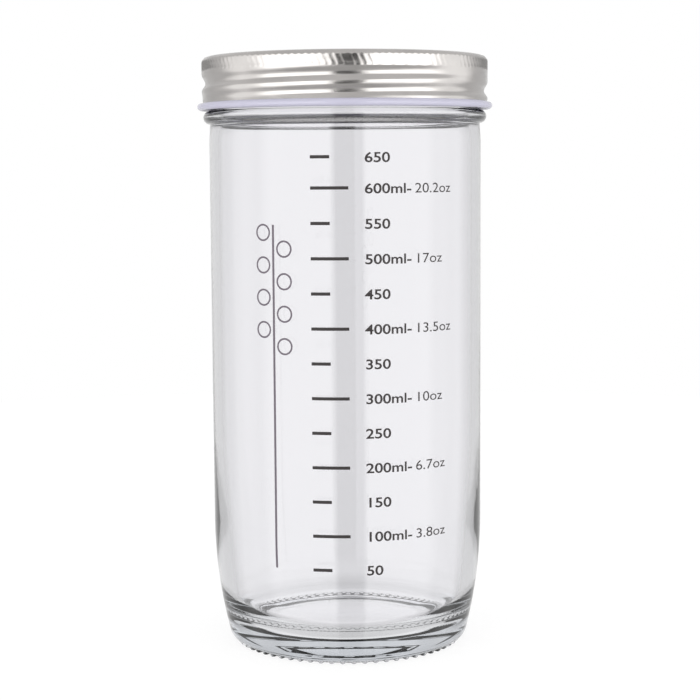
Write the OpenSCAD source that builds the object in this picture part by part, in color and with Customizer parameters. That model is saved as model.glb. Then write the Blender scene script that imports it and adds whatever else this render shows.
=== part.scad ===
// Straight-sided wide-mouth glass jar for a sourdough starter, with a continuous-thread
// neck, a flat sealing lid with its bonded gasket, and a knurled screw band.
// Millimetres, +Z up, origin at the centre of the base, closed and screwed down.

/* [Jar body] */
// Outer diameter of the straight wall
body_d = 84.8; // [70:0.1:104]
// Height of the glass, from the table to the rim
jar_h = 182; // [110:0.5:260]
// Thickness of the straight wall
wall_t = 3; // [2.2:0.1:4.2]
// Thickness of the glass at the middle of the floor
floor_t = 5; // [3.5:0.1:9]
// Rise of the pushed-up underside at its middle
punt_h = 3; // [1.5:0.1:5]

/* [Heel and foot] */
// Radius of the long curve that draws the wall in towards the foot
heel_sweep_r = 150; // [80:1:180]
// Slope of the wall where that curve ends, in degrees from upright
heel_slope = 14; // [8:0.5:17]
// Radius of the corner between the heel and the underside
heel_corner_r = 3.2; // [2:0.1:4.5]
// Step of the mould parting line round the heel
parting_step = 0.12; // [0.05:0.01:0.3]
// Radius of the rounded corner between the inner wall and the floor
floor_corner_r = 13; // [6:0.5:18]
// Radius of the long curve of the inner wall above that corner
inner_sweep_r = 420; // [200:10:700]
// Slope of the inner wall where that curve ends, in degrees from upright
inner_slope = 7; // [3:0.5:9]
// Height of the standing ring and its ridges below the underside
foot_h = 0.65; // [0.3:0.05:1]
// Width of the flat ring that the jar stands on
foot_ring_w = 1.4; // [0.8:0.1:2.5]
// Number of grip ridges round the standing ring
ridge_count = 66; // [24:1:72]
// Radius of each half-round ridge
ridge_r = 1.05; // [0.7:0.05:1.2]

/* [Neck and glass thread] */
// Diameter over the crests of the glass thread
thread_d = 86.9; // [72:0.1:104]
// Height of the glass thread above the neck
thread_depth = 1.35; // [1:0.05:1.6]
// Rise of the thread in one turn
thread_pitch = 5.08; // [4.6:0.01:6.2]
// Length of the glass thread, in turns
thread_turns = 1.25; // [1:0.05:1.4]
// Depth of the start of the thread below the rim
thread_drop = 2.8; // [2.6:0.1:3.2]
// Direction of the start of the thread, in degrees from +X
thread_start = 305; // [180:5:360]
// Thickness of the neck
neck_t = 3.1; // [2.6:0.1:4]
// Depth of the middle of the collar below the rim
collar_drop = 16.9; // [16.5:0.1:20]
// Radius of the half-round collar under the screw band
collar_r = 2.05; // [1.4:0.05:2.4]
// Radius of the two rounded edges of the rim
rim_r = 1.05; // [0.6:0.05:1.2]

/* [Lid] */
// Thickness of the sheet of the flat lid
lid_t = 0.3; // [0.2:0.05:0.5]
// Thickness of the gasket bonded under the lid
gasket_t = 0.8; // [0.5:0.1:1.2]
// Height of the raised middle panel of the lid
panel_rise = 0.4; // [0.3:0.05:1]
// Diameter of the button at the middle of the lid
button_d = 26; // [12:1:40]
// Rise of that button
button_rise = 0.35; // [0.2:0.05:0.8]

/* [Screw band] */
// Thickness of the sheet of the band
sheet_t = 0.3; // [0.25:0.05:0.4]
// Height of the band from its curl to its top
band_h = 16.4; // [15.6:0.1:18]
// Width of the flat ring at the top of the band
band_lip_w = 6.9; // [4:0.1:9]
// Radius of the band's top corner
band_corner_r = 1.85; // [1:0.05:2.2]
// Radial gap between the glass thread and the plain bore of the band
band_gap = 0.75; // [0.6:0.05:0.9]
// Depth of the rolled thread groove
groove_depth = 1.15; // [1:0.05:1.3]
// Length of the rolled groove, in turns
groove_turns = 1.45; // [1:0.05:1.5]
// Direction of the top end of the groove, in degrees from +X
groove_start = 335; // [300:5:360]
// Share of the groove's width above its deepest line
groove_lean = 0.57; // [0.45:0.01:0.6]
// Diameter of the curl at the bottom edge
curl_d = 2.2; // [1.6:0.1:2.6]
// Number of grip flutes round the top of the band, an even number
flute_count = 136; // [80:2:150]
// Depth of each flute
flute_depth = 0.35; // [0.2:0.05:0.4]
// Height of the flutes
flute_h = 3.4; // [2.4:0.1:4]

/* [Clearances] */
// Gap between the rim and the gasket, and between the lid and the band
seat_gap = 0.15; // [0.1:0.01:0.3]
// Least gap between the glass thread and the rolled groove
thread_gap = 0.35; // [0.3:0.01:0.4]
// Gap between the glass thread and the curl as it passes
curl_gap = 0.33; // [0.3:0.01:0.6]

/* [Hidden] */
$fn = 144;

// Jar: radii of the wall and heights of the curves that join it to the foot
body_r = body_d / 2;
bore_r = body_r - wall_t;
heel_z = foot_h + heel_corner_r * (1 - sin(heel_slope));
heel_top_z = heel_z + heel_sweep_r * sin(heel_slope);
heel_r = body_r - heel_sweep_r * (1 - cos(heel_slope));
foot_r = heel_r - heel_corner_r * cos(heel_slope);
foot_ring_r = foot_r - 0.6;
punt_lip = 1.2;
ridge_tip_r = foot_r + 0.4;

// Floor: a shallow dome that meets the rounded corner in a valley
floor_z = punt_h + floor_t;
floor_slope = 8;
floor_corner_x = bore_r - inner_sweep_r * (1 - cos(inner_slope)) - floor_corner_r * cos(inner_slope);
valley_r = floor_corner_x - floor_corner_r * sin(floor_slope);
valley_z = floor_z - valley_r * tan(floor_slope / 2);
floor_corner_z = valley_z + floor_corner_r * cos(floor_slope);
inner_top_z = floor_corner_z + (inner_sweep_r - floor_corner_r) * sin(inner_slope);

// Neck: its radii, the collar, and the shoulder between the neck and the wall
thread_r = thread_d / 2;
neck_r = thread_r - thread_depth;
mouth_r = neck_r - neck_t;
collar_z = jar_h - collar_drop;
shoulder_top_z = collar_z - collar_r;
shoulder_h = max(6, 1.2 * abs(body_r - neck_r), 1.2 * abs(bore_r - mouth_r));

// Glass thread: a rounded ridge, sunk a little into the neck so that it joins it
thread_crest_w = 0.7;
thread_foot_w = 3.1;
thread_sink = 0.4;
thread_step = 6;
thread_fade = 36;

// Closing stack: rim, gasket, lid and the top of the band
gasket_z = jar_h + seat_gap;
lid_z = gasket_z + gasket_t;
band_top_z = lid_z + lid_t + seat_gap + sheet_t;
band_z = band_top_z - band_h;
gasket_r_in = mouth_r - 0.6;
gasket_r_out = neck_r + 0.4;
lid_r = neck_r + 0.6;
lid_step_w = 0.8;

// Band: radii of its outside, its lip and its curl
band_r = thread_r + band_gap + sheet_t;
knurl_bore_r = band_r - flute_depth - sheet_t + 0.05;
lip_r = band_r - band_lip_w;
panel_r = min(lip_r - 0.5, gasket_r_in - 0.1) - lid_step_w;
curl_r = curl_d / 2;
curl_x = thread_r + curl_gap + curl_r;
curl_z = band_z + curl_r;
curl_open = 60;
flute_top_z = band_top_z - 1.2;
flute_z = flute_top_z - flute_h;
flute_fade = 0.6;

// Rolled groove: it lies under the glass thread at the same lead
groove_up = groove_lean * thread_pitch;
groove_down = thread_pitch - groove_up;
groove_fade = 34;
groove_flank = (band_gap - thread_gap) / groove_depth;
groove_offset = thread_crest_w / 2 + groove_up * acos(2 * groove_flank - 1) / 180;

// Skin of the band: facets round it, and rows down its threaded part
columns = flute_count / 2;
skirt_rows = 14;
skirt_top_z = flute_z - 0.15;
skirt_z = curl_z + curl_r + 0.75;

// Points of an arc about c from angle a to angle b
function arc(c, r, a, b, n) = [for (i = [0:n]) let (t = a + (b - a) * i / n) c + r * [cos(t), sin(t)]];

// Points of a smooth step between two heights of a wall
function blend(p, q, n) = [for (i = [1:n - 1]) let (t = i / n)
    [p.x + (q.x - p.x) * (1 - cos(180 * t)) / 2, p.y + (q.y - p.y) * t]];

// Points of a shallow dome from its middle, which has a small flat, to its edge
function dome(z_mid, edge, n) =
    let (rise = z_mid - edge.y, r = (edge.x * edge.x + rise * rise) / (2 * rise))
    [for (i = [0:n]) let (x = edge.x * max(i, 1) / n) [edge.x * i / n, z_mid - r + sqrt(r * r - x * x)]];

// A smooth rise from 0 to 1 as x runs from 0 to 1
function ease(x) = let (t = min(max(x, 0), 1)) t * t * (3 - 2 * t);

// Height of the glass thread's middle at angle a, which grows past a full turn
function thread_z(a) = jar_h - thread_drop + thread_pitch * (a - thread_start) / 360;

// Outline of the glass from the middle of the underside round to the middle of the floor
function underside() = concat(
    dome(punt_h, [foot_ring_r - foot_ring_w - punt_lip, punt_lip], 10),
    arc([foot_ring_r - foot_ring_w - punt_lip, 0], punt_lip, 60, 0, 4),
    [[foot_ring_r, 0], [foot_ring_r + foot_h, foot_h]]);

function outside() = concat(
    arc([foot_r, foot_h + heel_corner_r], heel_corner_r, -90, -heel_slope, 8),
    [[heel_r + parting_step, heel_z + 2 * parting_step]],
    arc([body_r - heel_sweep_r, heel_top_z], heel_sweep_r, 0.6 - heel_slope, 0, 12),
    [[body_r, shoulder_top_z - shoulder_h]],
    blend([body_r, shoulder_top_z - shoulder_h], [neck_r, shoulder_top_z], 8),
    arc([neck_r, collar_z], collar_r, -90, 90, 14),
    [[neck_r, jar_h - rim_r]]);

function rim() = concat(
    arc([neck_r - rim_r, jar_h - rim_r], rim_r, 0, 90, 6),
    arc([mouth_r + rim_r, jar_h - rim_r], rim_r, 90, 180, 6));

function inside() = concat(
    [[mouth_r, shoulder_top_z]],
    blend([mouth_r, shoulder_top_z], [bore_r, shoulder_top_z - shoulder_h], 8),
    [[bore_r, shoulder_top_z - shoulder_h]],
    arc([bore_r - inner_sweep_r, inner_top_z], inner_sweep_r, 0, -inner_slope, 8),
    arc([floor_corner_x, floor_corner_z], floor_corner_r, -inner_slope, -90 - floor_slope, 10),
    [for (i = [9:-1:0]) dome(floor_z, [valley_r, valley_z], 10)[i]]);

// Glass thread: one rounded ridge swept along the helix, fading into the neck at both ends
module glass_thread() {
    steps = round(360 * thread_turns / thread_step);
    half = [[thread_crest_w / 2, 1], [thread_foot_w / 4, 0.8], [thread_foot_w / 3, 0.45],
        [0.6 * thread_foot_w, -thread_sink]];
    section = concat([for (i = [3:-1:0]) [-half[i].x, half[i].y]], half);
    n = len(section);
    points = [for (i = [0:steps]) let (
            a = thread_start - i * thread_step,
            fade = ease(min(i, steps - i) * thread_step / thread_fade),
            height = -0.2 + (thread_depth + 0.2) * fade)
        for (s = section) let (r = neck_r + (s.y < 0 ? s.y : s.y * height))
            [r * cos(a), r * sin(a), thread_z(a) + s.x * (0.6 + 0.4 * fade)]];
    walls = [for (i = [0:steps - 1], k = [0:n - 1]) let (m = (k + 1) % n)
        each [[i * n + k, i * n + n + m, i * n + m], [i * n + k, i * n + n + k, i * n + n + m]]];
    ends = [[for (k = [0:n - 1]) k], [for (k = [n - 1:-1:0]) steps * n + k]];
    polyhedron(points, concat(walls, ends), convexity = 6);
}

// Grip ridges: half-round bars across the standing ring, worn flat where they stand
module foot_ridges() {
    axis_z = 0.9 * ridge_r;
    intersection() {
        for (i = [0:ridge_count - 1]) rotate(360 * i / ridge_count) {
            translate([foot_ring_r - 0.7, 0, axis_z]) rotate([0, 90, 0])
                cylinder(h = ridge_tip_r - foot_ring_r + 0.7, r = ridge_r, $fn = 24);
            translate([ridge_tip_r, 0, axis_z]) sphere(r = ridge_r, $fn = 24);
        }
        translate([0, 0, 5]) cube([3 * body_r, 3 * body_r, 10], center = true);
    }
}

module glass_jar() {
    color([0.82, 0.87, 0.88, 0.45]) union() {
        rotate_extrude() polygon(concat(underside(), outside(), rim(), inside()));
        glass_thread();
        foot_ridges();
    }
}

// Lid: a flat flange over the rim, a raised panel and a button at its middle
module lid_disc() {
    button_z = panel_rise + button_rise;
    top = [[0, button_z], [button_d / 2 - 2 * lid_step_w, button_z], [button_d / 2, panel_rise],
        [panel_r, panel_rise], [panel_r + lid_step_w, 0], [lid_r, 0]];
    color("silver") translate([0, 0, lid_z]) rotate_extrude()
        polygon(concat([for (p = top) p + [0, lid_t]], [for (i = [len(top) - 1:-1:0]) top[i]]));
}

module lid_gasket() {
    color([0.9, 0.9, 0.88]) translate([0, 0, gasket_z]) rotate_extrude()
        translate([gasket_r_in, 0]) square([gasket_r_out - gasket_r_in, gasket_t]);
}

// Depth of the rolled groove at angle a and height z, the deepest of its turns there
function groove_shape(u) = u > groove_up || u < -groove_down ? 0
    : (1 + cos(180 * u / (u > 0 ? groove_up : groove_down))) / 2;

function groove_ends(a) = ease((groove_start - a) / groove_fade)
    * ease((a - groove_start + 360 * groove_turns) / groove_fade);

function groove(a, z) = groove_depth * max([for (turn = [-2:1]) let (t = a + 360 * turn)
    groove_shape(z - thread_z(t) + groove_offset) * groove_ends(t)]);

// Depth of the flutes at angle a and height z
function flute(a, z) = flute_depth * (1 - cos(a * flute_count)) / 2
    * min(ease((flute_top_z - z) / flute_fade), ease((z - flute_z) / flute_fade));

// Outside radius of the band under its rounded top corner
function corner_r(z) = let (up = max(0, z - band_top_z + band_corner_r))
    band_r - band_corner_r + sqrt(band_corner_r * band_corner_r - up * up);

// A ring of n points round the band, at a plain radius or on its rolled outside less an inset
function ring(n, r, z) = [for (i = [0:n - 1]) let (a = 360 * i / n) [r * cos(a), r * sin(a), z]];

function rolled_ring(n, z, inset) = [for (i = [0:n - 1])
    let (a = 360 * i / n, r = corner_r(z) - groove(a, z) - (inset > 0 ? inset : flute(a, z)))
    [r * cos(a), r * sin(a), z]];

// Heights of the rows down the threaded part, and the curl's section about its centre
skirt_heights = [for (i = [0:skirt_rows]) skirt_top_z + (skirt_z - skirt_top_z) * i / skirt_rows];
curl_angles = [for (i = [0:9]) 180 + (270 - curl_open / 2) * i / 9];
roll_angles = [for (i = [0:4]) 180 + (270 - curl_open / 2) * i / 4];
under_z = band_top_z - sheet_t;

// Rings over the outside of the band, from its lip to the end of the curl
outer_rings = concat(
    [ring(columns, lip_r, band_top_z)],
    [for (a = [90, 55]) ring(columns, band_r - band_corner_r + band_corner_r * cos(a),
        band_top_z - band_corner_r + band_corner_r * sin(a))],
    [for (z = [flute_top_z, flute_top_z - flute_fade, flute_z + flute_fade, flute_z])
        rolled_ring(4 * columns, z, 0)],
    [for (z = skirt_heights) rolled_ring(columns, z, 0)],
    [for (a = roll_angles) ring(columns, curl_x + (curl_r - sheet_t) * cos(a),
        curl_z + (curl_r - sheet_t) * sin(a))]);

// Rings back along the inside, from the end of the curl to the underside of the lip
inner_rings = concat(
    [for (i = [len(curl_angles) - 1:-1:0]) ring(columns, curl_x + curl_r * cos(curl_angles[i]),
        curl_z + curl_r * sin(curl_angles[i]))],
    [for (i = [skirt_rows:-1:0]) rolled_ring(columns, skirt_heights[i], sheet_t)],
    [ring(columns, knurl_bore_r, flute_z + flute_fade)],
    [ring(columns, knurl_bore_r, under_z - 1), ring(columns, knurl_bore_r - 1, under_z)],
    [ring(columns, lip_r, under_z)]);

// Faces between two rings, where one may have several points to each of the other's
function strip(a, na, b, nb) = let (n = min(na, nb), ka = na / n, kb = nb / n)
    [for (i = [0:n - 1]) let (
        pa = a + (ka > 1 ? (i + 1) * ka % na : i),
        pb = b + (ka > 1 ? i : (i + 1) * kb % nb))
        each concat(
            [for (k = [0:ka - 1]) [a + i * ka + k, a + (i * ka + k + 1) % na, pb]],
            [for (k = [0:kb - 1]) [pa, b + (i * kb + k + 1) % nb, b + i * kb + k]])];

module screw_band() {
    rings = concat(outer_rings, inner_rings);
    count = len(rings);
    sizes = [for (r = rings) len(r)];
    starts = [for (i = 0, s = 0; i < count; s = s + sizes[i], i = i + 1) s];
    color([0.78, 0.78, 0.76]) polyhedron([for (r = rings) each r],
        [for (i = [0:count - 1]) let (j = (i + 1) % count)
            each strip(starts[i], sizes[i], starts[j], sizes[j])], convexity = 8);
}

glass_jar();
lid_disc();
lid_gasket();
screw_band();
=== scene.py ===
"""Looks of the sourdough starter jar: camera, studio, materials and the printed scale.

Lengths are in metres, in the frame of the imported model: +Z up, origin at the centre of the
base, front of the jar at -Y. Angles round the jar are measured from the front, towards +X.
"""
import math

import bmesh
import bpy
from mathutils import Matrix, Vector
from mathutils.bvhtree import BVHTree


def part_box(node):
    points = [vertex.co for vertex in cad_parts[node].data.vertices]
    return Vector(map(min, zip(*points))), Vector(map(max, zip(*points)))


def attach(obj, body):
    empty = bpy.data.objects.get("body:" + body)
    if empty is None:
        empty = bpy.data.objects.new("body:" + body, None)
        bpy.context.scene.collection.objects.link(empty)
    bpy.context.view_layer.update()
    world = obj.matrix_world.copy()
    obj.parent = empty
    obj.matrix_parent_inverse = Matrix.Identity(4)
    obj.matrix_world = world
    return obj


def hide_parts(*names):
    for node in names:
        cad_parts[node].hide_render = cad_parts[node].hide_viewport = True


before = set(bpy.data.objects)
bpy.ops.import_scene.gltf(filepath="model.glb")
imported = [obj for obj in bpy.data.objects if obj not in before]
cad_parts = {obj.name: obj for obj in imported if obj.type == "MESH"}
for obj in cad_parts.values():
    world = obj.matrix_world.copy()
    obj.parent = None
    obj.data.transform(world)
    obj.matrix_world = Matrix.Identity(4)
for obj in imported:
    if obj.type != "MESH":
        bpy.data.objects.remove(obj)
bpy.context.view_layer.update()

MM = 0.001

# Camera, fitted to the photograph, with its turns in radians
CAMERA_PLACE = Vector((1.12, -560.9, 151.9)) * MM
CAMERA_PITCH_DOWN = 0.106615
CAMERA_ROLL = -0.00666
FOCAL_PIXELS = 1778.14
FRAME_PIXELS = 700
SENSOR_WIDTH_MM = 36

# Printed scale: places on the front, as distances across the jar from its axis
MARK_LEFT = -10.2 * MM
MARK_LONG = 11.16 * MM
MARK_SHORT = 5.67 * MM
MARK_THICK = 0.96 * MM
FIRST_MARK_Z = 30.4 * MM
MARK_SPACING = 10.307 * MM
TOP_MARK_SPACING = 9.03 * MM
ML_PER_MARK = 50
MARK_COUNT = 13
OUNCES = ("3.8", "6.7", "10", "13.5", "17", "20.2")
LABEL_LEFT = 5.6 * MM
OUNCE_LEFT = 20.4 * MM
DIGIT_SIZE = 4.1 * MM
DIGIT_STRETCH = 1.27
DIGIT_DROP = 1.6 * MM
BOLD = 0.07 * MM
THIN = 0.0

# Decoration to the left of the scale, with its angle in degrees
STEM_ANGLE = -30.2
STEM_LOW_Z = 30.2 * MM
STEM_HIGH_Z = 133.0 * MM
STEM_WIDTH = 0.72 * MM
RING_RADIUS = 2.3 * MM
RING_LINE = 0.55 * MM
RING_DROP = 4.8 * MM
RING_COUNT = 8
RING_OFFSET = 3.6 * MM
RING_SEGMENTS = 28

# Ink: its height off the glass, the longest step of a strip, and its colours
INK_LIFT = 0.04 * MM
INK_STEP = 1.2 * MM
SCALE_INK = (0.014, 0.009, 0.009)
SCALE_INK_SHADE = 0.7
DECORATION_INK = (0.12, 0.10, 0.125)
DECORATION_INK_SHADE = 0.8
INK_ROUGHNESS = 0.6

# Smoothing of the faceted surfaces: edges bent by more degrees than this stay sharp
WELD = 0.002 * MM
SHARP_ANGLE = 42

# Glass
GLASS_COLOUR = (0.975, 0.97, 0.985)
GLASS_IOR = 1.52
GLASS_DEEP_COLOUR = (0.74, 0.77, 0.80)
GLASS_DEPTH_DENSITY = 19.0
WAVE_SCALE = 26
WAVE_STRETCH = (1, 1, 0.45)
WAVE_HEIGHT = 0.6 * MM
WAVE_STRENGTH = 0.12

# Sheet steel of the lid and the band, and the compound of the gasket
LID_COLOUR = (0.66, 0.65, 0.63)
LID_ROUGHNESS = 0.3
LID_BRUSH = (1, 0.08, 1)
BAND_COLOUR = (0.52, 0.50, 0.485)
BAND_ROUGHNESS = 0.2
BAND_BRUSH = (0.12, 0.12, 1)
GRAIN_SCALE = 900
GRAIN_HEIGHT = 0.05 * MM
GRAIN_STRENGTH = 0.08
GRAIN_ROUGHNESS = (-0.05, 0.07)
BLOTCH_SCALE = 60
BLOTCH_SHADE = 0.86
COMPOUND_COLOUR = (0.62, 0.60, 0.56)
COMPOUND_ROUGHNESS = 0.6
COMPOUND_SHADE = 0.9

# Noise: the part of its range that is used, and the fine mottle of ink and compound
NOISE_RANGE = (0.3, 0.7)
MOTTLE_SCALE = 1400
MOTTLE_HEIGHT = 0.03 * MM
MOTTLE_STRENGTH = 0.1

# White lacquer of the band's inner face, which its curl turns outwards
LACQUER = (0.43, 0.42, 0.515)
CURL_HEIGHT = 2.35 * MM
LACQUER_EDGE = 0.1 * MM
FACES_INWARD = -0.008

# Studio: brightness of the walls by the angle from the middle of a gap at the front, as
# (edge, softness, level), and of what lies above and below them, as (start, end, level)
WALL_GAP_MIDDLE = 3.0
WALL_GAP_LEVEL = 0.12
WALL_LEVELS = ((13, 2.5, 2.7), (74, 8, 1.5), (112, 10, 0.72), (158, 8, 0.84))
CEILING = (0.32, 0.6, 0.9)
GROUND = (-0.45, -0.75, 0.65)

# Most brightness that shows through glass, and a level above every other
SEEN_THROUGH_MOST = 1.0
NO_LIMIT = 10.0

# Floor: its size, its colour, and the share and strength of its glow for the camera
FLOOR_RADIUS = 0.6
FLOOR_SEGMENTS = 96
FLOOR_COLOUR = (0.95, 0.95, 0.95)
FLOOR_ROUGHNESS = 0.9
FLOOR_SEEN = 0.8
FLOOR_GLOW = 1.06
WHITE = (1, 1, 1)


def node_object(name):
    """The Blender object of a CAD node."""
    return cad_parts[name]


def new_material(name):
    """An empty material with its output and one Principled shader."""
    material = bpy.data.materials.new(name)
    material.use_nodes = True
    tree = material.node_tree
    tree.nodes.clear()
    output = tree.nodes.new("ShaderNodeOutputMaterial")
    shader = tree.nodes.new("ShaderNodeBsdfPrincipled")
    tree.links.new(shader.outputs["BSDF"], output.inputs["Surface"])
    return material, tree, shader, output


def add_math(tree, operation, *values):
    """The output of a Math node, whose inputs are numbers or sockets."""
    node = tree.nodes.new("ShaderNodeMath")
    node.operation = operation
    for socket, value in zip(node.inputs, values):
        if isinstance(value, (int, float)):
            socket.default_value = value
        else:
            tree.links.new(value, socket)
    return node.outputs[0]


def add_range(tree, value, low, high, out_low, out_high):
    """A socket's value, moved smoothly from one range to another."""
    node = tree.nodes.new("ShaderNodeMapRange")
    node.interpolation_type = "SMOOTHSTEP"
    tree.links.new(value, node.inputs["Value"])
    node.inputs["From Min"].default_value = low
    node.inputs["From Max"].default_value = high
    node.inputs["To Min"].default_value = out_low
    node.inputs["To Max"].default_value = out_high
    return node.outputs["Result"]


def add_noise(tree, scale, detail, stretch=(1, 1, 1)):
    """Noise in the object's own space, stretched along its axes."""
    place = tree.nodes.new("ShaderNodeTexCoord")
    mapping = tree.nodes.new("ShaderNodeMapping")
    mapping.inputs["Scale"].default_value = stretch
    noise = tree.nodes.new("ShaderNodeTexNoise")
    noise.inputs["Scale"].default_value = scale
    noise.inputs["Detail"].default_value = detail
    tree.links.new(place.outputs["Object"], mapping.inputs["Vector"])
    tree.links.new(mapping.outputs["Vector"], noise.inputs["Vector"])
    return noise.outputs["Fac"]


def add_bump(tree, shader, height, strength, distance):
    """A bump on a shader from a height socket."""
    bump = tree.nodes.new("ShaderNodeBump")
    bump.inputs["Strength"].default_value = strength
    bump.inputs["Distance"].default_value = distance
    tree.links.new(height, bump.inputs["Height"])
    tree.links.new(bump.outputs["Normal"], shader.inputs["Normal"])


def mix_colour(tree, factor, first, second):
    """A colour mix of two colours or sockets by a factor socket."""
    node = tree.nodes.new("ShaderNodeMix")
    node.data_type = "RGBA"
    tree.links.new(factor, node.inputs["Factor"])
    for socket, value in ((node.inputs["A"], first), (node.inputs["B"], second)):
        if isinstance(value, tuple):
            socket.default_value = (*value, 1)
        else:
            tree.links.new(value, socket)
    return node.outputs["Result"]


def glass_material():
    """Clear pressed glass: a faint cool tint and the slow waves of a moulded wall."""
    material, tree, shader, output = new_material("clear_glass")
    shader.inputs["Base Color"].default_value = (*GLASS_COLOUR, 1)
    shader.inputs["Roughness"].default_value = 0.0
    shader.inputs["IOR"].default_value = GLASS_IOR
    shader.inputs["Transmission Weight"].default_value = 1.0
    waves = add_noise(tree, WAVE_SCALE, 1.5, WAVE_STRETCH)
    add_bump(tree, shader, waves, WAVE_STRENGTH, WAVE_HEIGHT)
    absorption = tree.nodes.new("ShaderNodeVolumeAbsorption")
    absorption.inputs["Color"].default_value = (*GLASS_DEEP_COLOUR, 1)
    absorption.inputs["Density"].default_value = GLASS_DEPTH_DENSITY
    tree.links.new(absorption.outputs["Volume"], output.inputs["Volume"])
    return material


def lacquer_share(tree, curl_top):
    """Where the lacquer shows: on faces that look at the axis, and below the top of the curl."""
    geometry = tree.nodes.new("ShaderNodeNewGeometry")
    place = tree.nodes.new("ShaderNodeTexCoord")
    split = tree.nodes.new("ShaderNodeSeparateXYZ")
    tree.links.new(place.outputs["Object"], split.inputs["Vector"])
    flat = tree.nodes.new("ShaderNodeCombineXYZ")
    tree.links.new(split.outputs["X"], flat.inputs["X"])
    tree.links.new(split.outputs["Y"], flat.inputs["Y"])
    outward = tree.nodes.new("ShaderNodeVectorMath")
    outward.operation = "DOT_PRODUCT"
    tree.links.new(flat.outputs["Vector"], outward.inputs[0])
    tree.links.new(geometry.outputs["True Normal"], outward.inputs[1])
    inner = add_math(tree, "LESS_THAN", outward.outputs["Value"], FACES_INWARD)
    curl = add_range(tree, split.outputs["Z"], curl_top + LACQUER_EDGE, curl_top - LACQUER_EDGE, 0, 1)
    return add_math(tree, "MAXIMUM", inner, curl)


def steel_material(name, colour, roughness, brush, curl_top=None):
    """Satin tin-plated steel, brushed along one axis, lacquered white where it has a curl."""
    material, tree, shader, _ = new_material(name)
    grain = add_noise(tree, GRAIN_SCALE, 6, brush)
    blotches = add_noise(tree, BLOTCH_SCALE, 3)
    tone = add_range(tree, blotches, *NOISE_RANGE, 0.0, 1.0)
    dull = tuple(BLOTCH_SHADE * c for c in colour)
    metal = mix_colour(tree, tone, colour, dull)
    rough = add_range(tree, grain, *NOISE_RANGE, *(roughness + r for r in GRAIN_ROUGHNESS))
    tree.links.new(rough, shader.inputs["Roughness"])
    add_bump(tree, shader, grain, GRAIN_STRENGTH, GRAIN_HEIGHT)
    if curl_top is None:
        tree.links.new(metal, shader.inputs["Base Color"])
        shader.inputs["Metallic"].default_value = 1.0
        return material
    white = lacquer_share(tree, curl_top)
    tree.links.new(mix_colour(tree, white, metal, LACQUER), shader.inputs["Base Color"])
    tree.links.new(add_math(tree, "SUBTRACT", 1.0, white), shader.inputs["Metallic"])
    return material


def mottled_material(name, colour, roughness, shade):
    """A matt or satin colour with a fine mottle and grain."""
    material, tree, shader, _ = new_material(name)
    mottle = add_noise(tree, MOTTLE_SCALE, 4)
    darker = tuple(shade * c for c in colour)
    tree.links.new(mix_colour(tree, mottle, colour, darker), shader.inputs["Base Color"])
    shader.inputs["Roughness"].default_value = roughness
    add_bump(tree, shader, mottle, MOTTLE_STRENGTH, MOTTLE_HEIGHT)
    return material


class JarFront:
    """The outside of the glass, for laying ink on it."""

    def __init__(self, obj):
        mesh = obj.data
        vertices = [v.co.copy() for v in mesh.vertices]
        self.tree = BVHTree.FromPolygons(vertices, [tuple(p.vertices) for p in mesh.polygons])
        self.reach = 2 * max(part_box("glass_jar")[1][:2])

    def radius_at(self, angle, z):
        """How far from the axis the ink lies at an angle and a height."""
        return Vector(self.point(angle, z)[:2]).length

    def point(self, angle, z):
        """The point just off the glass at an angle from the front, in radians, and a height."""
        outward = Vector((math.sin(angle), -math.cos(angle), 0))
        start = outward * self.reach + Vector((0, 0, z))
        hit = self.tree.ray_cast(start, -outward)[0]
        return hit + outward * INK_LIFT

    def angle_at(self, across, z):
        """The angle of the point that lies a distance across the front from the axis."""
        return math.asin(across / self.radius_at(0, z))


def mesh_piece(name, build, material, body):
    """A mesh object from a function that fills a bmesh, riding on a body."""
    bm = bmesh.new()
    build(bm)
    mesh = bpy.data.meshes.new(name)
    bm.to_mesh(mesh)
    bm.free()
    for polygon in mesh.polygons:
        polygon.use_smooth = True
    piece = bpy.data.objects.new(name, mesh)
    bpy.context.scene.collection.objects.link(piece)
    piece.data.materials.append(material)
    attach(piece, body)
    return piece


def smooth_skin(node, name, body, material):
    """A copy of a node's own surface, with its facets joined and shaded as smooth curves."""

    def build(bm):
        bm.from_mesh(node_object(node).data)
        bmesh.ops.remove_doubles(bm, verts=bm.verts, dist=WELD)
        bmesh.ops.dissolve_degenerate(bm, edges=bm.edges, dist=WELD)

    piece = mesh_piece(name, build, material, body)
    piece.data.set_sharp_from_angle(angle=math.radians(SHARP_ANGLE))
    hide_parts(node)


def join_rows(bm, rows):
    """Faces between rows of two points."""
    for a, b in zip(rows, rows[1:]):
        bm.faces.new((a[0], a[1], b[1], b[0]))


def lay_strip(bm, front, start, end, width):
    """A strip of ink of one width between two (angle, z) points on the glass."""
    radius = front.radius_at(*start)
    run = Vector(((end[0] - start[0]) * radius, end[1] - start[1]))
    side = Vector((-run.y, run.x)).normalized() * (width / 2)
    steps = max(1, math.ceil(run.length / INK_STEP))
    rows = []
    for i in range(steps + 1):
        angle, z = (a + (b - a) * i / steps for a, b in zip(start, end))
        edges = ((angle + s * side.x / radius, z + s * side.y) for s in (1, -1))
        rows.append([bm.verts.new(front.point(*edge)) for edge in edges])
    join_rows(bm, rows)


def lay_ring(bm, front, angle, z, radius, line):
    """A round open ring of ink."""
    jar_radius = front.radius_at(angle, z)
    rows = []
    for i in range(RING_SEGMENTS):
        t = math.tau * i / RING_SEGMENTS
        radii = (radius - line / 2, radius + line / 2)
        edges = ((angle + r * math.cos(t) / jar_radius, z + r * math.sin(t)) for r in radii)
        rows.append([bm.verts.new(front.point(*edge)) for edge in edges])
    join_rows(bm, rows + rows[:1])


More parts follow.
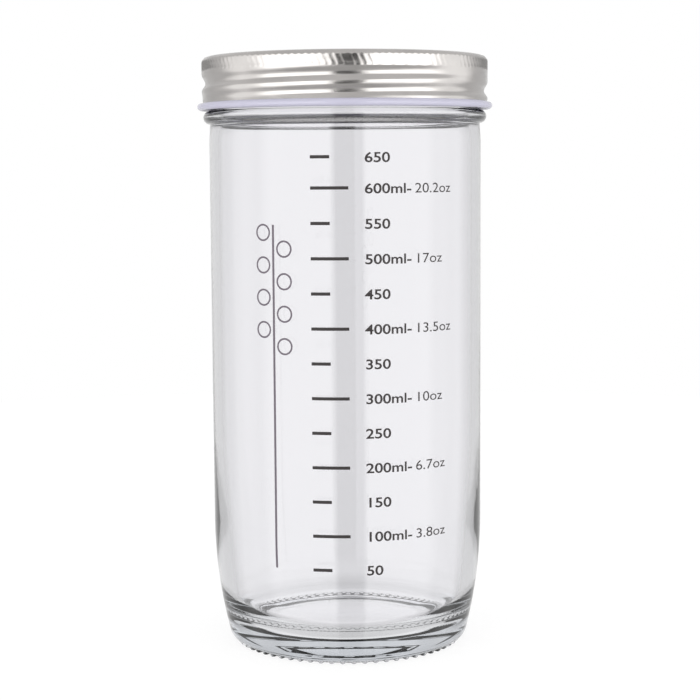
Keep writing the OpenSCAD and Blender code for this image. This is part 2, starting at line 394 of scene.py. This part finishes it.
def lay_text(bm, front, words, left, z, bold):
    """Plain numbers, bent round the glass from a place across its front."""
    curve = bpy.data.curves.new("figures", "FONT")
    curve.body = words
    curve.size = DIGIT_SIZE
    curve.offset = bold
    carrier = bpy.data.objects.new("figures", curve)
    bpy.context.scene.collection.objects.link(carrier)
    bpy.context.view_layer.update()
    flat = carrier.evaluated_get(bpy.context.evaluated_depsgraph_get()).to_mesh()
    start = front.angle_at(left, z)
    stretch = DIGIT_STRETCH / front.radius_at(0, z)
    placed = [bm.verts.new(front.point(start + v.co.x * stretch, z + v.co.y)) for v in flat.vertices]
    for polygon in flat.polygons:
        bm.faces.new([placed[i] for i in polygon.vertices])
    bpy.data.objects.remove(carrier)
    bpy.data.curves.remove(curve)


def mark_height(index):
    """Height of a mark of the scale, counted from the lowest."""
    if index == MARK_COUNT - 1:
        return FIRST_MARK_Z + (index - 1) * MARK_SPACING + TOP_MARK_SPACING
    return FIRST_MARK_Z + index * MARK_SPACING


def build_marks(bm, front):
    """The marks of the scale, long ones at the hundreds."""
    for index in range(MARK_COUNT):
        z = mark_height(index)
        length = MARK_LONG if index % 2 else MARK_SHORT
        start = front.angle_at(MARK_LEFT, z)
        end = front.angle_at(MARK_LEFT + length, z)
        lay_strip(bm, front, (start, z), (end, z), MARK_THICK)


def build_millilitres(bm, front):
    """The figures in millilitres beside the marks."""
    for index in range(MARK_COUNT):
        amount = ML_PER_MARK * (index + 1)
        words = f"{amount}ml-" if index % 2 else f"{amount}"
        lay_text(bm, front, words, LABEL_LEFT, mark_height(index) - DIGIT_DROP, BOLD)


def build_ounces(bm, front):
    """The thinner figures in fluid ounces after the hundreds."""
    for index, amount in zip(range(1, MARK_COUNT, 2), OUNCES):
        lay_text(bm, front, f"{amount}oz", OUNCE_LEFT, mark_height(index) - DIGIT_DROP, THIN)


def build_decoration(bm, front):
    """A thin stem with open rings in a zigzag along its upper part."""
    angle = math.radians(STEM_ANGLE)
    lay_strip(bm, front, (angle, STEM_LOW_Z), (angle, STEM_HIGH_Z), STEM_WIDTH)
    offset = RING_OFFSET / front.radius_at(angle, STEM_HIGH_Z)
    for index in range(RING_COUNT):
        side = 1 if index % 2 else -1
        z = STEM_HIGH_Z - RING_RADIUS - index * RING_DROP
        lay_ring(bm, front, angle + side * offset, z, RING_RADIUS, RING_LINE)


def make_print():
    """The printed scale and the decoration, as thin layers of ink on the glass."""
    front = JarFront(node_object("glass_jar"))
    dark = mottled_material("scale_ink", SCALE_INK, INK_ROUGHNESS, SCALE_INK_SHADE)
    soft = mottled_material("decoration_ink", DECORATION_INK, INK_ROUGHNESS, DECORATION_INK_SHADE)
    parts = (
        ("scale_marks", build_marks, dark),
        ("scale_millilitres", build_millilitres, dark),
        ("scale_ounces", build_ounces, dark),
        ("stem_decoration", build_decoration, soft),
    )
    for name, build, ink in parts:
        piece = mesh_piece(name, lambda bm: build(bm, front), ink, "jar")


def dress_nodes():
    """The materials of the CAD nodes, and the smooth skins of the glass and the band."""
    curl_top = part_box("screw_band")[0][2] + CURL_HEIGHT
    compound = ("sealing_compound", COMPOUND_COLOUR, COMPOUND_ROUGHNESS, COMPOUND_SHADE)
    looks = {
        "glass_jar": glass_material(),
        "lid_disc": steel_material("lid_steel", LID_COLOUR, LID_ROUGHNESS, LID_BRUSH),
        "lid_gasket": mottled_material(*compound),
        "screw_band": steel_material("band_steel", BAND_COLOUR, BAND_ROUGHNESS, BAND_BRUSH, curl_top),
    }
    for name, material in looks.items():
        for slot in node_object(name).material_slots:
            slot.material = material
    smooth_skin("glass_jar", "glass_wall", "jar", looks["glass_jar"])
    smooth_skin("screw_band", "band_skin", "band", looks["screw_band"])


def make_floor():
    """A white floor with a soft shadow, as white as the background; glass and metal see past it."""
    bm = bmesh.new()
    bmesh.ops.create_circle(bm, cap_ends=True, segments=FLOOR_SEGMENTS, radius=FLOOR_RADIUS)
    mesh = bpy.data.meshes.new("floor")
    bm.to_mesh(mesh)
    bm.free()
    floor = bpy.data.objects.new("floor", mesh)
    bpy.context.scene.collection.objects.link(floor)
    material, tree, shader, output = new_material("floor_white")
    shader.inputs["Base Color"].default_value = (*FLOOR_COLOUR, 1)
    shader.inputs["Roughness"].default_value = FLOOR_ROUGHNESS
    glow = tree.nodes.new("ShaderNodeEmission")
    glow.inputs["Color"].default_value = (*WHITE, 1)
    glow.inputs["Strength"].default_value = FLOOR_GLOW
    path = tree.nodes.new("ShaderNodeLightPath")
    white = tree.nodes.new("ShaderNodeMixShader")
    glowing = add_math(tree, "MULTIPLY", path.outputs["Is Camera Ray"], FLOOR_SEEN)
    tree.links.new(glowing, white.inputs["Fac"])
    tree.links.new(shader.outputs["BSDF"], white.inputs[1])
    tree.links.new(glow.outputs["Emission"], white.inputs[2])
    through = tree.nodes.new("ShaderNodeBsdfTransparent")
    mix = tree.nodes.new("ShaderNodeMixShader")
    bent = add_math(tree, "MAXIMUM", path.outputs["Is Glossy Ray"], path.outputs["Is Transmission Ray"])
    tree.links.new(bent, mix.inputs["Fac"])
    tree.links.new(white.outputs["Shader"], mix.inputs[1])
    tree.links.new(through.outputs["BSDF"], mix.inputs[2])
    tree.links.new(mix.outputs["Shader"], output.inputs["Surface"])
    floor.data.materials.append(material)


def make_world():
    """Studio: two broad soft boxes in front with a gap between them, and darker side walls."""
    world = bpy.data.worlds.new("studio")
    bpy.context.scene.world = world
    world.use_nodes = True
    tree = world.node_tree
    tree.nodes.clear()
    output = tree.nodes.new("ShaderNodeOutputWorld")
    background = tree.nodes.new("ShaderNodeBackground")
    place = tree.nodes.new("ShaderNodeTexCoord")
    split = tree.nodes.new("ShaderNodeSeparateXYZ")
    tree.links.new(place.outputs["Generated"], split.inputs["Vector"])
    towards_front = add_math(tree, "MULTIPLY", split.outputs["Y"], -1.0)
    azimuth = add_math(tree, "ARCTAN2", split.outputs["X"], towards_front)
    degrees = add_math(tree, "MULTIPLY", azimuth, 180 / math.pi)
    turned = add_math(tree, "ABSOLUTE", add_math(tree, "SUBTRACT", degrees, WALL_GAP_MIDDLE))
    background.inputs["Color"].default_value = (*WHITE, 1)
    level = previous = WALL_GAP_LEVEL
    for edge, softness, target in WALL_LEVELS:
        step = add_range(tree, turned, edge - softness, edge + softness, 0.0, target - previous)
        level = add_math(tree, "ADD", level, step)
        previous = target
    for low, high, target in (CEILING, GROUND):
        share = add_range(tree, split.outputs["Z"], low, high, 0.0, 1.0)
        kept = add_math(tree, "MULTIPLY", level, add_math(tree, "SUBTRACT", 1.0, share))
        level = add_math(tree, "ADD", kept, add_math(tree, "MULTIPLY", share, target))
    path = tree.nodes.new("ShaderNodeLightPath")
    camera_ray = path.outputs["Is Camera Ray"]
    through = path.outputs["Is Transmission Ray"]
    lowered = add_math(tree, "MULTIPLY", through, NO_LIMIT - SEEN_THROUGH_MOST)
    level = add_math(tree, "MINIMUM", level, add_math(tree, "SUBTRACT", NO_LIMIT, lowered))
    unseen = add_math(tree, "MULTIPLY", level, add_math(tree, "SUBTRACT", 1.0, camera_ray))
    tree.links.new(add_math(tree, "ADD", unseen, camera_ray), background.inputs["Strength"])
    tree.links.new(background.outputs["Background"], output.inputs["Surface"])


def make_camera():
    """The camera of the photograph."""
    data = bpy.data.cameras.new("camera")
    data.sensor_fit = "HORIZONTAL"
    data.sensor_width = SENSOR_WIDTH_MM
    data.lens = FOCAL_PIXELS / FRAME_PIXELS * SENSOR_WIDTH_MM
    data.clip_start = 0.01
    data.clip_end = 50
    camera = bpy.data.objects.new("camera", data)
    bpy.context.scene.collection.objects.link(camera)
    turn = Matrix.Rotation(math.pi / 2 - CAMERA_PITCH_DOWN, 4, "X") @ Matrix.Rotation(CAMERA_ROLL, 4, "Z")
    camera.matrix_world = Matrix.Translation(CAMERA_PLACE) @ turn
    bpy.context.scene.camera = camera


make_camera()
make_world()
make_floor()
dress_nodes()
make_print()
bpy.context.scene.view_settings.view_transform = "Standard"
